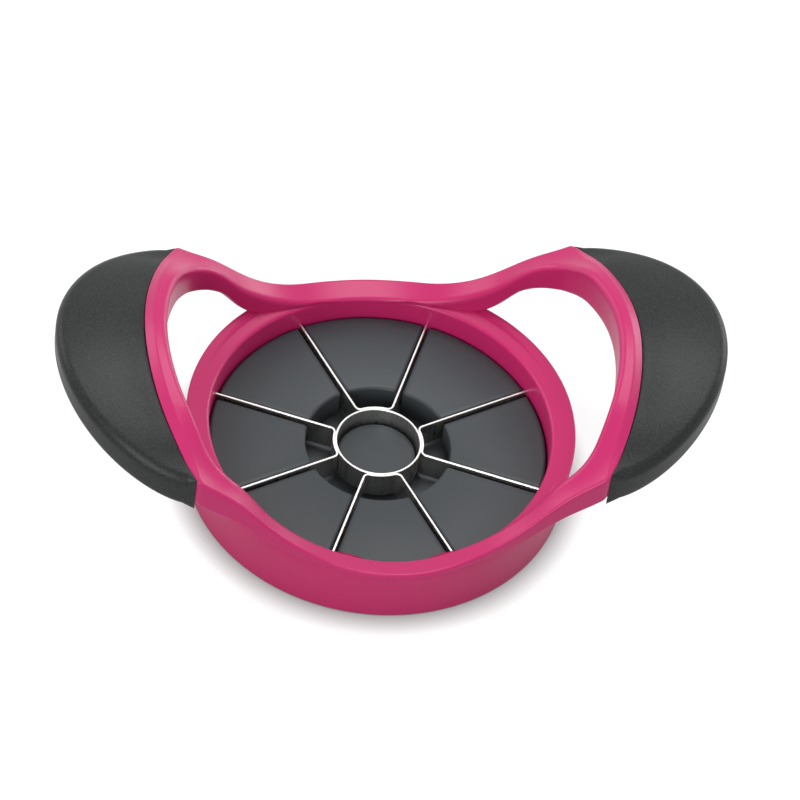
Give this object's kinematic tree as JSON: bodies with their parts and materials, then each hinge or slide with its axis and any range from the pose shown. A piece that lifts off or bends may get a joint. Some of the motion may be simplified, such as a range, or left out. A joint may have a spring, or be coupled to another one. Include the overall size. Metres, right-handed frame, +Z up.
{
  "type": "apple slicer",
  "caption": "Push-down apple slicer: folded steel blades round a coring tube, a raised handle frame with finger loops and soft bow grips, and a loose base with wedge-shaped pads.",
  "frame": {"origin": "centre of the circle that the skirt and the base stand on, on the table", "axes": "+Z up out of the throat, +X along the handles towards the right grip, +Y away from the user"},
  "size_m": [0.182, 0.1072, 0.0578],
  "materials": {
    "frame_pink": "satin gloss",
    "skirt_pink": "satin",
    "grip_soft": "fine matte, soft touch",
    "base_grey": "satin",
    "foot_rubber": "matte",
    "blade_steel": "ground",
    "screw_steel": "plated"
  },
  "bodies": {
    "base": {"base_plate": "base_grey", "base_foot_ring": "foot_rubber"},
    "slicer": {"handle_frame": "frame_pink", "skirt_ring": "skirt_pink", "left_grip": "grip_soft", "right_grip": "grip_soft", "core_tube": "blade_steel", "clamp_ring": "base_grey", "frame_screws": "screw_steel", "blade_strip_right": "blade_steel", "blade_strip_back": "blade_steel", "blade_strip_left": "blade_steel", "blade_strip_front": "blade_steel"}
  },
  "joints": [
    {"name": "lift_off_base", "type": "slide", "parent": "base", "child": "slicer", "axis": [0, 0, 1], "range_m": [0, 0.03]}
  ]
}
